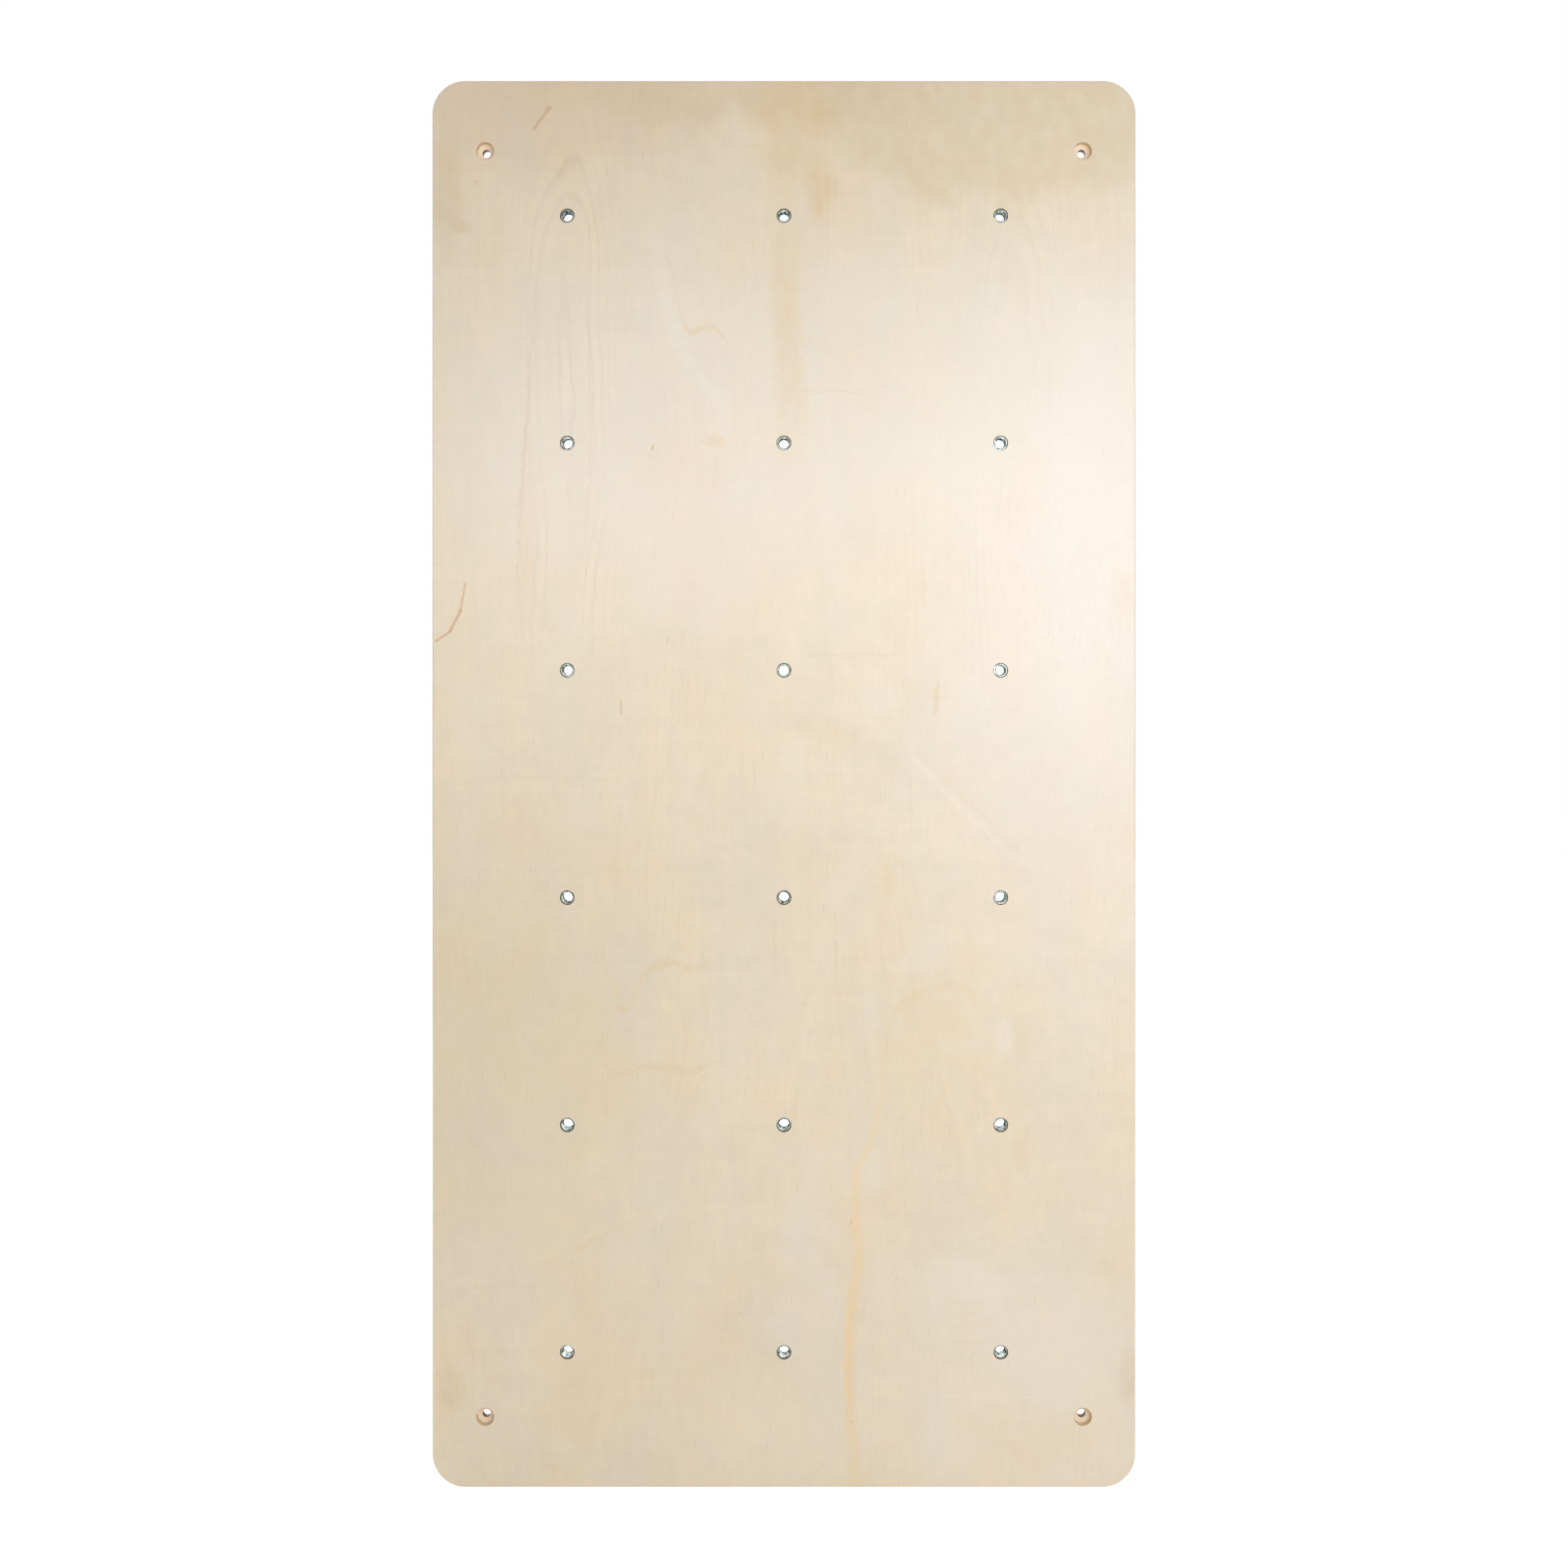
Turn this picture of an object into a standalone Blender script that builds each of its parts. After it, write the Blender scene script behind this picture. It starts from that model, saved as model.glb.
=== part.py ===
"""Wall-mounted climbing board: a plywood panel with a grid of pronged hold nuts.

Metres, +Z up. The front face looks along -Y and the rear face lies on the plane y = 0.
The origin is the centre of the rear face, where the board meets the wall.
"""

from math import cos, pi, radians, sin

import bmesh
import bpy
from mathutils import Matrix, Vector

# Board
BOARD_WIDTH = 0.600
BOARD_HEIGHT = 1.200
BOARD_THICKNESS = 0.015
CORNER_RADIUS = 0.028
EDGE_ROUNDING = 0.001

# Grid of hold nuts, spread evenly inside a margin
NUT_COLUMNS = 3
NUT_ROWS = 6
NUT_MARGIN = 0.115

# Wall-screw holes in the corners: a pilot hole with a counterbore for the screw's head
SCREW_SIDE_MARGIN = 0.045
SCREW_END_MARGIN = 0.060
PILOT_DIAMETER = 0.007
COUNTERBORE_DIAMETER = 0.0155
COUNTERBORE_DEPTH = 0.008

# Hold nut, M10: a barrel rolled out of a flange with four prongs
THREAD_BORE_DIAMETER = 0.0085
BARREL_DIAMETER = 0.012
BARREL_REACH = 0.0125
BARREL_EDGE = 0.0004
MOUTH_CHAMFER = 0.0008
ROOT_RADIUS = 0.0012
FLANGE_DIAMETER = 0.0255
FLANGE_THICKNESS = 0.0015
PRONG_COUNT = 4
PRONG_WIDTH = 0.0036
PRONG_TIP_WIDTH = 0.0008
PRONG_LENGTH = 0.006
PRONG_RIM_INSET = 0.0006
PRONG_TURN = radians(45)
NOTCH_LENGTH = 0.0066
FOLD_SET_BACK = 0.0002

# How the nut sits in the board
SEAT_CLEARANCE = 0.0003
FLANGE_SINK = 0.0003

# How far a cutter runs past the faces it opens
CUT_OVERRUN = 0.002

# Facets
CORNER_SEGMENTS = 10
EDGE_SEGMENTS = 2
NUT_SEGMENTS = 20
HOLE_SEGMENTS = 24
ROOT_STEPS = 2

# Edges that turn by more than this stay sharp
SHARP_ANGLE = radians(30)

# Distances under this are one point when caps and poles are closed
WELD_DISTANCE = 0.00001


def half(size):
    return size / 2


def evenly_spread(count, size, margin):
    """Places in equal steps along a size, with a margin at both ends, centred on zero."""
    reach = half(size) - margin
    return [reach * (2 * index / (count - 1) - 1) for index in range(count)]


def new_collection(name):
    collection = bpy.data.collections.new(name)
    bpy.context.scene.collection.children.link(collection)
    return collection


def new_material(name, colour, roughness, metallic):
    material = bpy.data.materials.new(name)
    material.use_nodes = True
    shader = material.node_tree.nodes["Principled BSDF"]
    shader.inputs["Base Color"].default_value = colour
    shader.inputs["Roughness"].default_value = roughness
    shader.inputs["Metallic"].default_value = metallic
    material.diffuse_color = colour
    return material


def add_object(name, data, collection):
    obj = bpy.data.objects.new(name, data)
    collection.objects.link(obj)
    return obj


def mark_as_cutter(obj):
    obj.hide_render = True
    obj.display_type = 'WIRE'


def evaluated_mesh(name, obj, matrix=Matrix.Identity(4)):
    """The shape of an object after its modifiers, welded, facing out, and moved by the matrix."""
    bpy.context.view_layer.update()
    evaluated = obj.evaluated_get(bpy.context.evaluated_depsgraph_get())
    mesh = bpy.data.meshes.new_from_object(evaluated)
    mesh.name = name
    mesh.transform(matrix)
    bm = bmesh.new()
    bm.from_mesh(mesh)
    bmesh.ops.remove_doubles(bm, verts=bm.verts, dist=WELD_DISTANCE)
    bmesh.ops.recalc_face_normals(bm, faces=bm.faces)
    bm.to_mesh(mesh)
    bm.free()
    return mesh


def shade_by_angle(mesh):
    mesh.shade_smooth()
    mesh.set_sharp_from_angle(angle=SHARP_ANGLE)


def turned_object(name, profile, segments, collection, closed):
    """Turns a profile of (radius, height) points about Z. It runs down the outer side."""
    points = [(radius, 0, height) for radius, height in profile]
    edges = [(index, index + 1) for index in range(len(points) - 1)]
    if closed:
        edges.append((len(points) - 1, 0))
    mesh = bpy.data.meshes.new(name)
    mesh.from_pydata(points, edges, [])
    obj = add_object(name, mesh, collection)
    screw = obj.modifiers.new("turn", 'SCREW')
    screw.axis = 'Z'
    screw.angle = 2 * pi
    screw.steps = segments
    screw.render_steps = segments
    screw.use_merge_vertices = True
    screw.merge_threshold = WELD_DISTANCE
    return obj


def outline_mesh(name, points, thickness, matrix, collection):
    """A flat outline of (x, y) points given a thickness, as a closed mesh moved by the matrix."""
    curve = bpy.data.curves.new(name, 'CURVE')
    curve.dimensions = '2D'
    curve.fill_mode = 'BOTH'
    curve.extrude = half(thickness)
    curve.render_resolution_u = 0
    spline = curve.splines.new('POLY')
    spline.points.add(len(points) - 1)
    for point, (x, y) in zip(spline.points, points):
        point.co = (x, y, 0, 1)
    spline.use_cyclic_u = True
    guide = add_object(name, curve, collection)
    mesh = evaluated_mesh(name, guide, matrix)
    bpy.data.objects.remove(guide)
    return mesh


def add_boolean(obj, operation, collection):
    boolean = obj.modifiers.new(operation.lower(), 'BOOLEAN')
    boolean.operation = operation
    boolean.solver = 'EXACT'
    boolean.operand_type = 'COLLECTION'
    boolean.collection = collection


# The fold lines lie on one side of each notch, so that each prong stands on the flange
FOLD_LINE = -half(NOTCH_LENGTH)
PRONG_FAR_SIDE = FOLD_LINE - FOLD_SET_BACK - FLANGE_THICKNESS
RIM_REACH_AT_PRONG = (half(FLANGE_DIAMETER) ** 2 - PRONG_FAR_SIDE ** 2) ** 0.5
PRONG_OUTER = RIM_REACH_AT_PRONG - PRONG_RIM_INSET
PRONG_INNER = PRONG_OUTER - PRONG_WIDTH
PRONG_TIP = FLANGE_THICKNESS + PRONG_LENGTH


def prong_matrix(index):
    """Stands a flat prong on the flange: its outline's Y becomes the height, its thickness the tangent."""
    turn = Matrix.Rotation(PRONG_TURN + index * 2 * pi / PRONG_COUNT, 4, 'Z')
    fold = Matrix.Translation((0, half(PRONG_FAR_SIDE + FOLD_LINE - FOLD_SET_BACK), 0))
    return turn @ fold @ Matrix.Rotation(radians(90), 4, 'X')


def prong_outline(clearance):
    """A fang with a straight outer side and a slanting inner one, grown by a clearance."""
    base = half(FLANGE_THICKNESS)
    return [
        (PRONG_INNER - clearance, base),
        (PRONG_OUTER + clearance, base),
        (PRONG_OUTER + clearance, PRONG_TIP + clearance),
        (PRONG_OUTER - PRONG_TIP_WIDTH - clearance, PRONG_TIP + clearance),
    ]


def add_prongs(prefix, clearance, collection):
    thickness = FLANGE_THICKNESS + 2 * clearance
    for index in range(PRONG_COUNT):
        name = f"{prefix}_{index + 1}"
        mesh = outline_mesh(name, prong_outline(clearance), thickness, prong_matrix(index), collection)
        mark_as_cutter(add_object(name, mesh, collection))


def add_notches(collection):
    """The gaps that the prongs leave in the flange where they were folded out of it."""
    depth = half(FLANGE_DIAMETER) + CUT_OVERRUN - PRONG_INNER
    height = FLANGE_THICKNESS + 2 * CUT_OVERRUN
    size = Matrix.Diagonal((depth, NOTCH_LENGTH, height, 1))
    place = Matrix.Translation((PRONG_INNER + half(depth), 0, half(FLANGE_THICKNESS)))
    for index in range(PRONG_COUNT):
        turn = Matrix.Rotation(PRONG_TURN + index * 2 * pi / PRONG_COUNT, 4, 'Z')
        name = f"flange_notch_{index + 1}"
        mesh = bpy.data.meshes.new(name)
        bm = bmesh.new()
        bmesh.ops.create_cube(bm, size=1, matrix=turn @ place @ size)
        bm.to_mesh(mesh)
        bm.free()
        mark_as_cutter(add_object(name, mesh, collection))


def root_arc(bore_radius):
    """The rounded rear mouth, where the sheet of the flange turns into the barrel."""
    points = []
    for step in range(ROOT_STEPS + 1):
        angle = half(pi) * step / ROOT_STEPS
        across = bore_radius + ROOT_RADIUS - ROOT_RADIUS * sin(angle)
        up = ROOT_RADIUS - ROOT_RADIUS * cos(angle)
        points.append((across, up))
    return points


def hold_nut_mesh(collection, notches, prongs):
    """One hold nut: flange at height zero, mouth at the top."""
    bore_radius = half(THREAD_BORE_DIAMETER)
    barrel_radius = half(BARREL_DIAMETER)
    flange_radius = half(FLANGE_DIAMETER)
    profile = [
        (bore_radius + MOUTH_CHAMFER, BARREL_REACH),
        (barrel_radius - BARREL_EDGE, BARREL_REACH),
        (barrel_radius, BARREL_REACH - BARREL_EDGE),
        (barrel_radius, FLANGE_THICKNESS),
        (flange_radius, FLANGE_THICKNESS),
        (flange_radius, 0),
        *root_arc(bore_radius),
        (bore_radius, BARREL_REACH - MOUTH_CHAMFER),
    ]
    blank = turned_object("hold_nut_blank", profile, NUT_SEGMENTS, collection, closed=True)
    add_notches(notches)
    add_prongs("prong", 0, prongs)
    add_boolean(blank, 'DIFFERENCE', notches)
    add_boolean(blank, 'UNION', prongs)
    mesh = evaluated_mesh("hold_nut", blank)
    bpy.data.objects.remove(blank)
    return mesh


def nut_seat_mesh(collection, pockets):
    """The cutter for one seat: the drilled hole, the flange's recess and a pocket for each prong."""
    hole_radius = half(BARREL_DIAMETER) + SEAT_CLEARANCE
    recess_radius = half(FLANGE_DIAMETER) + SEAT_CLEARANCE
    top = BOARD_THICKNESS - FLANGE_SINK + CUT_OVERRUN
    floor = FLANGE_THICKNESS + SEAT_CLEARANCE
    bottom = -FLANGE_SINK - CUT_OVERRUN
    profile = [
        (0, top),
        (hole_radius, top),
        (hole_radius, floor),
        (recess_radius, floor),
        (recess_radius, bottom),
        (0, bottom),
    ]
    blank = turned_object("nut_seat_blank", profile, HOLE_SEGMENTS, collection, closed=False)
    add_prongs("prong_pocket", SEAT_CLEARANCE, pockets)
    add_boolean(blank, 'UNION', pockets)
    mesh = evaluated_mesh("nut_seat", blank)
    bpy.data.objects.remove(blank)
    return mesh


def screw_hole_mesh(collection):
    """The cutter for one wall-screw hole: the pilot with the counterbore in front of it."""
    pilot_radius = half(PILOT_DIAMETER)
    counterbore_radius = half(COUNTERBORE_DIAMETER)
    top = BOARD_THICKNESS + CUT_OVERRUN
    floor = BOARD_THICKNESS - COUNTERBORE_DEPTH
    profile = [
        (0, top),
        (counterbore_radius, top),
        (counterbore_radius, floor),
        (pilot_radius, floor),
        (pilot_radius, -CUT_OVERRUN),
        (0, -CUT_OVERRUN),
    ]
    blank = turned_object("screw_hole_blank", profile, HOLE_SEGMENTS, collection, closed=False)
    mesh = evaluated_mesh("screw_hole", blank)
    bpy.data.objects.remove(blank)
    return mesh


def place_through_board(obj, x, depth, z):
    """Turns a piece so that its height runs from the rear of the board to the front."""
    obj.location = (x, -depth, z)
    obj.rotation_euler = (radians(90), 0, 0)


def nut_places():
    """Row and column numbers with their places, from the top left of the front face."""
    for row, z in enumerate(reversed(evenly_spread(NUT_ROWS, BOARD_HEIGHT, NUT_MARGIN))):
        for column, x in enumerate(evenly_spread(NUT_COLUMNS, BOARD_WIDTH, NUT_MARGIN)):
            yield row + 1, column + 1, x, z


def screw_places():
    across = half(BOARD_WIDTH) - SCREW_SIDE_MARGIN
    up = half(BOARD_HEIGHT) - SCREW_END_MARGIN
    return [(side * across, end * up) for end in (1, -1) for side in (-1, 1)]


def add_hole_cutters(collection, seat, screw_hole):
    for row, column, x, z in nut_places():
        cutter = add_object(f"nut_seat_r{row}c{column}", seat, collection)
        place_through_board(cutter, x, FLANGE_SINK, z)
        mark_as_cutter(cutter)
    for index, (x, z) in enumerate(screw_places()):
        cutter = add_object(f"screw_hole_{index + 1}", screw_hole, collection)
        place_through_board(cutter, x, 0, z)
        mark_as_cutter(cutter)


def add_board(collection, blanks, cutters, material):
    """The plywood panel: round corners, softened edges, and every hole cut through it."""
    bm = bmesh.new()
    bmesh.ops.create_cube(bm, size=1)
    bmesh.ops.scale(bm, vec=Vector((BOARD_WIDTH, BOARD_THICKNESS, BOARD_HEIGHT)), verts=bm.verts)
    corner_edges = [
        edge for edge in bm.edges
        if edge.verts[0].co.x == edge.verts[1].co.x and edge.verts[0].co.z == edge.verts[1].co.z
    ]
    bmesh.ops.bevel(
        bm,
        geom=corner_edges,
        offset=CORNER_RADIUS,
        segments=CORNER_SEGMENTS,
        profile=0.5,
        affect='EDGES',
    )
    panel = bpy.data.meshes.new("panel")
    bm.to_mesh(panel)
    bm.free()
    blank = add_object("board_blank", panel, blanks)
    blank.location = (0, -half(BOARD_THICKNESS), 0)
    rounding = blank.modifiers.new("edge_rounding", 'BEVEL')
    rounding.width = EDGE_ROUNDING
    rounding.segments = EDGE_SEGMENTS
    rounding.limit_method = 'ANGLE'
    rounding.angle_limit = radians(60)
    add_boolean(blank, 'DIFFERENCE', cutters)
    mesh = evaluated_mesh("board", blank)
    bpy.data.objects.remove(blank)
    mesh.materials.clear()
    mesh.materials.append(material)
    shade_by_angle(mesh)
    board = add_object("board", mesh, collection)
    board.location = (0, -half(BOARD_THICKNESS), 0)


def add_hold_nuts(collection, mesh):
    for row, column, x, z in nut_places():
        nut = add_object(f"hold_nut_r{row}c{column}", mesh, collection)
        place_through_board(nut, x, FLANGE_SINK, z)


def build():
    for obj in list(bpy.data.objects):
        bpy.data.objects.remove(obj)

    parts = new_collection("climbing_wall")
    blanks = new_collection("blanks")
    hole_cutters = new_collection("hole_cutters")
    notch_cutters = new_collection("notch_cutters")
    prong_guides = new_collection("prong_guides")
    pocket_guides = new_collection("pocket_guides")

    birch = new_material("birch_plywood", (0.78, 0.66, 0.50, 1), 0.55, 0.0)
    zinc = new_material("zinc_plated_steel", (0.62, 0.66, 0.68, 1), 0.30, 1.0)

    seat = nut_seat_mesh(blanks, pocket_guides)
    screw_hole = screw_hole_mesh(blanks)
    add_hole_cutters(hole_cutters, seat, screw_hole)
    add_board(parts, blanks, hole_cutters, birch)

    nut = hold_nut_mesh(blanks, notch_cutters, prong_guides)
    nut.materials.append(zinc)
    shade_by_angle(nut)
    add_hold_nuts(parts, nut)


build()
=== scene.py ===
import math
from functools import partial

import bmesh
import bpy
from mathutils import Matrix, Vector


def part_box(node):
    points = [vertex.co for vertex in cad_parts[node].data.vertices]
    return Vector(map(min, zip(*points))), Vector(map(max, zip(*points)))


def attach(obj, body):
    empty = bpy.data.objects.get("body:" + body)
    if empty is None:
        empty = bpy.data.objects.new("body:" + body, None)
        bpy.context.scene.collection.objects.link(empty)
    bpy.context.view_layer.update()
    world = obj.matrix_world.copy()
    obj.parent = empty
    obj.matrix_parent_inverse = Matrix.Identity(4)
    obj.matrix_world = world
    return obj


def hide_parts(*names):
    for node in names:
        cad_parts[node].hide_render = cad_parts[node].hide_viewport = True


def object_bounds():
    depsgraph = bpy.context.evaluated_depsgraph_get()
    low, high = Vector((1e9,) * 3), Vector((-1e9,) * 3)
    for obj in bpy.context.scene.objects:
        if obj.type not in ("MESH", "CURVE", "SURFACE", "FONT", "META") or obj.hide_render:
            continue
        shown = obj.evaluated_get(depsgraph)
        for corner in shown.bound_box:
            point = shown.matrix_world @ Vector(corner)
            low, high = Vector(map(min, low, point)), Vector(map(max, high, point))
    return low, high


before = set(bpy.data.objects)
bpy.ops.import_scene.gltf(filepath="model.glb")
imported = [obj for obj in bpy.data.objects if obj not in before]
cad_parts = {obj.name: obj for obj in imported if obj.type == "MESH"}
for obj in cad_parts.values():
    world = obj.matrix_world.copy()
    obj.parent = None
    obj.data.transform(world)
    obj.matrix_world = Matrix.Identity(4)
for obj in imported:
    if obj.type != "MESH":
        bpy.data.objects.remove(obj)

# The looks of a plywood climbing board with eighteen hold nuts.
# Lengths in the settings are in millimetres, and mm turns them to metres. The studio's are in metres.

mm = 0.001
white = (1, 1, 1, 1)
standing = (math.radians(90), 0, 0)        # turns what lies flat into the plane of the board
scene = bpy.context.scene
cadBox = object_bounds()
nutNodes = sorted(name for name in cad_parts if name.startswith("hold_nut"))


def nodeCentre(name):
    low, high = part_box(name)
    return (low + high) / 2


def linearColor(hexValue):
    channels = [int(hexValue[start:start + 2], 16) / 255 for start in (1, 3, 5)]
    linear = [c / 12.92 if c <= 0.04045 else ((c + 0.055) / 1.055) ** 2.4 for c in channels]
    return (*linear, 1.0)


# One function adds any node with its settings and links; a kind without its family is a shader node.
# Inputs go by name, or in order as a list. Each is a value, an output, a node, which gives its first
# output in use, or a list of these to join
def addNode(tree, kind, inputs=(), **settings):
    node = tree.nodes.new(kind if "Node" in kind else "ShaderNode" + kind)
    for name, value in settings.items():
        setattr(node, name, value)
    inUse = [socket for socket in node.inputs if socket.enabled]
    for key, value in inputs.items() if isinstance(inputs, dict) else enumerate(inputs):
        socket = node.inputs[key] if isinstance(key, str) else inUse[key]
        for item in value if isinstance(value, list) else [value]:
            if isinstance(item, bpy.types.Node):
                item = next(output for output in item.outputs if output.enabled)
            if isinstance(item, bpy.types.NodeSocket):
                tree.links.new(item, socket)
            else:
                socket.default_value = item
    return node


# Makes a group with sockets of the given types. Gives what adds nodes to it, and its inputs by name
def newGroup(name, kind, inputs, outputs):
    tree = bpy.data.node_groups.new(name, kind)
    for direction, sockets in (("INPUT", inputs), ("OUTPUT", outputs)):
        for socketName, socketType in sockets.items():
            tree.interface.new_socket(socketName, in_out=direction, socket_type="NodeSocket" + socketType)
    add = partial(addNode, tree)
    return add, {socket.name: socket for socket in add("NodeGroupInput").outputs}


socketTypes = {float: "Float", int: "Int", bpy.types.Object: "Object", bpy.types.Material: "Material"}


# Puts geometry nodes on an object. The given function builds them, and each value is a named input
def addNodesModifier(obj, name, build, values):
    inputs = {"Geometry": "Geometry"}
    inputs.update({key: socketTypes[type(value)] for key, value in values.items()})
    add, given = newGroup(name, "GeometryNodeTree", inputs, {"Geometry": "Geometry"})
    add("NodeGroupOutput", {"Geometry": build(add, given)})
    modifier = obj.modifiers.new(name, "NODES")
    modifier.node_group = bpy.data.node_groups[name]
    for item in modifier.node_group.interface.items_tree:
        if item.in_out == "INPUT" and item.name in values:
            modifier[item.identifier] = values[item.name]


def newObject(name, mesh):
    obj = bpy.data.objects.new(name, mesh)
    scene.collection.objects.link(obj)
    return obj


# The plain mesh of a built object, which is then removed
def finishedMesh(builder, name):
    bpy.context.view_layer.update()
    evaluated = builder.evaluated_get(bpy.context.evaluated_depsgraph_get())
    mesh = bpy.data.meshes.new_from_object(evaluated)
    mesh.name = name
    bpy.data.objects.remove(builder)
    return mesh


def addBevel(obj, width, steps, sharpDegrees):
    bevel = obj.modifiers.new("rounding", "BEVEL")
    bevel.width = width
    bevel.segments = steps
    bevel.limit_method = "ANGLE"
    bevel.angle_limit = math.radians(sharpDegrees)


# Board: sizes that the frame doesn't give are those of the part

boardSettings = {
    "cornerRadius": 28,
    "cornerSteps": 40,
    "edgeRounding": 1.0,
    "edgeSteps": 5,
    "edgeDegrees": 60,
    "nutHole": 12.6,
    "nutRecess": 26.1,
    "nutRecessDepth": 2.1,
    "screwSideMargin": 45,
    "screwEndMargin": 60,
    "pilot": 7.0,
    "counterbore": 15.5,
    "counterboreDepth": 8.0,
    "holeSteps": 72,
    "overrun": 2.0,
    "weld": 0.01,           # points nearer to each other than this are one
    "flush": 0.05,          # a face that is nearer to the front or the rear than this lies on it
    "alongDepth": 0.9,      # how much of its normal a hole's floor has along the depth
    "alongEdge": 0.5,       # and the part of a rounded edge that still counts to the veneer
}

nutCentres = [nodeCentre(name) for name in nutNodes]
nutGrid = {
    "Nut Spread X": max(c.x for c in nutCentres) - min(c.x for c in nutCentres),
    "Nut Spread Z": max(c.z for c in nutCentres) - min(c.z for c in nutCentres),
    "Nut Columns": 3,
    "Nut Rows": 6,
}


# Grid of points in the plane of the board, spread over the middle of the front
def gridPoints(add, given, prefix):
    names = (" Spread X", " Spread Z", " Columns", " Rows")
    grid = add("GeometryNodeMeshGrid", [given[prefix + name] for name in names])
    return add("GeometryNodeTransform", {"Geometry": grid, "Rotation": standing})


# Flat outline with round corners, given its thickness from the rear face forwards
def panelNodes(add, given):
    outline = add("GeometryNodeCurvePrimitiveQuadrilateral", {
        "Width": given["Width"],
        "Height": given["Height"],
    })
    rounded = add("GeometryNodeFilletCurve", {
        "Curve": outline,
        "Count": given["Corner Steps"],
        "Radius": given["Corner Radius"],
    }, mode="POLY")
    face = add("GeometryNodeFillCurve", {"Curve": rounded}, mode="NGONS")
    walls = add("GeometryNodeExtrudeMesh", {
        "Mesh": face,
        "Offset Scale": given["Thickness"],
        "Individual": False,
    })
    rear = add("GeometryNodeFlipFaces", {"Mesh": face})
    joined = add("GeometryNodeJoinGeometry", {"Geometry": [walls, rear]})
    closed = add("GeometryNodeMergeByDistance", {"Geometry": joined, "Distance": given["Weld"]})
    return add("GeometryNodeTransform", {"Geometry": closed, "Rotation": standing})


# Bores through the board: a stepped pair of cylinders stands on each point of a grid
def holeNodes(add, given):
    def bore(diameter, low, high):
        radius = add("Math", [diameter, 0.5], operation="MULTIPLY")
        depth = add("Math", [high, low], operation="SUBTRACT")
        both = add("Math", [high, low], operation="ADD")
        middle = add("Math", [both, -0.5], operation="MULTIPLY")
        place = add("CombineXYZ", {"Y": middle})
        cylinder = add("GeometryNodeMeshCylinder", {
            "Vertices": given["Steps"],
            "Radius": radius,
            "Depth": depth,
        })
        return add("GeometryNodeTransform", {
            "Geometry": cylinder,
            "Translation": place,
            "Rotation": standing,
        })

    beyond = add("Math", [given["Thickness"], given["Overrun"]], operation="ADD")
    before = add("Math", [given["Overrun"], -1], operation="MULTIPLY")
    cutters = []
    for prefix in ("Nut", "Screw"):
        narrow = bore(given[prefix + " Hole"], before, beyond)
        wide = bore(*[given[prefix + name] for name in (" Wide", " Wide From", " Wide To")])
        stepped = add("GeometryNodeMeshBoolean", {
            "Mesh 2": [narrow, wide],
        }, operation="UNION", solver="EXACT")
        copies = add("GeometryNodeInstanceOnPoints", {
            "Points": gridPoints(add, given, prefix),
            "Instance": stepped,
        })
        cutters.append(add("GeometryNodeRealizeInstances", {"Geometry": copies}))
    return add("GeometryNodeMeshBoolean", {
        "Mesh 1": given["Geometry"],
        "Mesh 2": add("GeometryNodeJoinGeometry", {"Geometry": cutters}),
    }, operation="DIFFERENCE", solver="EXACT")


def buildBoard(settings):
    low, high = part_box("board")
    size = high - low
    overrun = settings["overrun"] * mm
    board = newObject("boardBuilder", bpy.data.meshes.new("boardBuilder"))
    addNodesModifier(board, "panelOutline", panelNodes, {
        "Width": size.x,
        "Height": size.z,
        "Thickness": size.y,
        "Corner Radius": settings["cornerRadius"] * mm,
        "Corner Steps": settings["cornerSteps"],
        "Weld": settings["weld"] * mm,
    })
    addBevel(board, settings["edgeRounding"] * mm, settings["edgeSteps"], settings["edgeDegrees"])
    addNodesModifier(board, "panelHoles", holeNodes, {
        "Thickness": size.y,
        "Overrun": overrun,
        "Steps": settings["holeSteps"],
        **nutGrid,
        "Nut Hole": settings["nutHole"] * mm,
        "Nut Wide": settings["nutRecess"] * mm,
        "Nut Wide From": -overrun,
        "Nut Wide To": settings["nutRecessDepth"] * mm,
        "Screw Spread X": size.x - 2 * settings["screwSideMargin"] * mm,
        "Screw Spread Z": size.z - 2 * settings["screwEndMargin"] * mm,
        "Screw Columns": 2,
        "Screw Rows": 2,
        "Screw Hole": settings["pilot"] * mm,
        "Screw Wide": settings["counterbore"] * mm,
        "Screw Wide From": size.y - settings["counterboreDepth"] * mm,
        "Screw Wide To": size.y + overrun,
    })
    return finishedMesh(board, "board_panel")


# Planar faces stay flat, so that the long triangles show no false shading, and the rest is smooth
def shadeByForm(mesh, sharpDegrees=30, planar=0.9999):
    mesh.shade_smooth()
    mesh.set_sharp_from_angle(angle=math.radians(sharpDegrees))
    for face in mesh.polygons:
        if abs(face.normal.y) > planar:
            face.use_smooth = False


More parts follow.
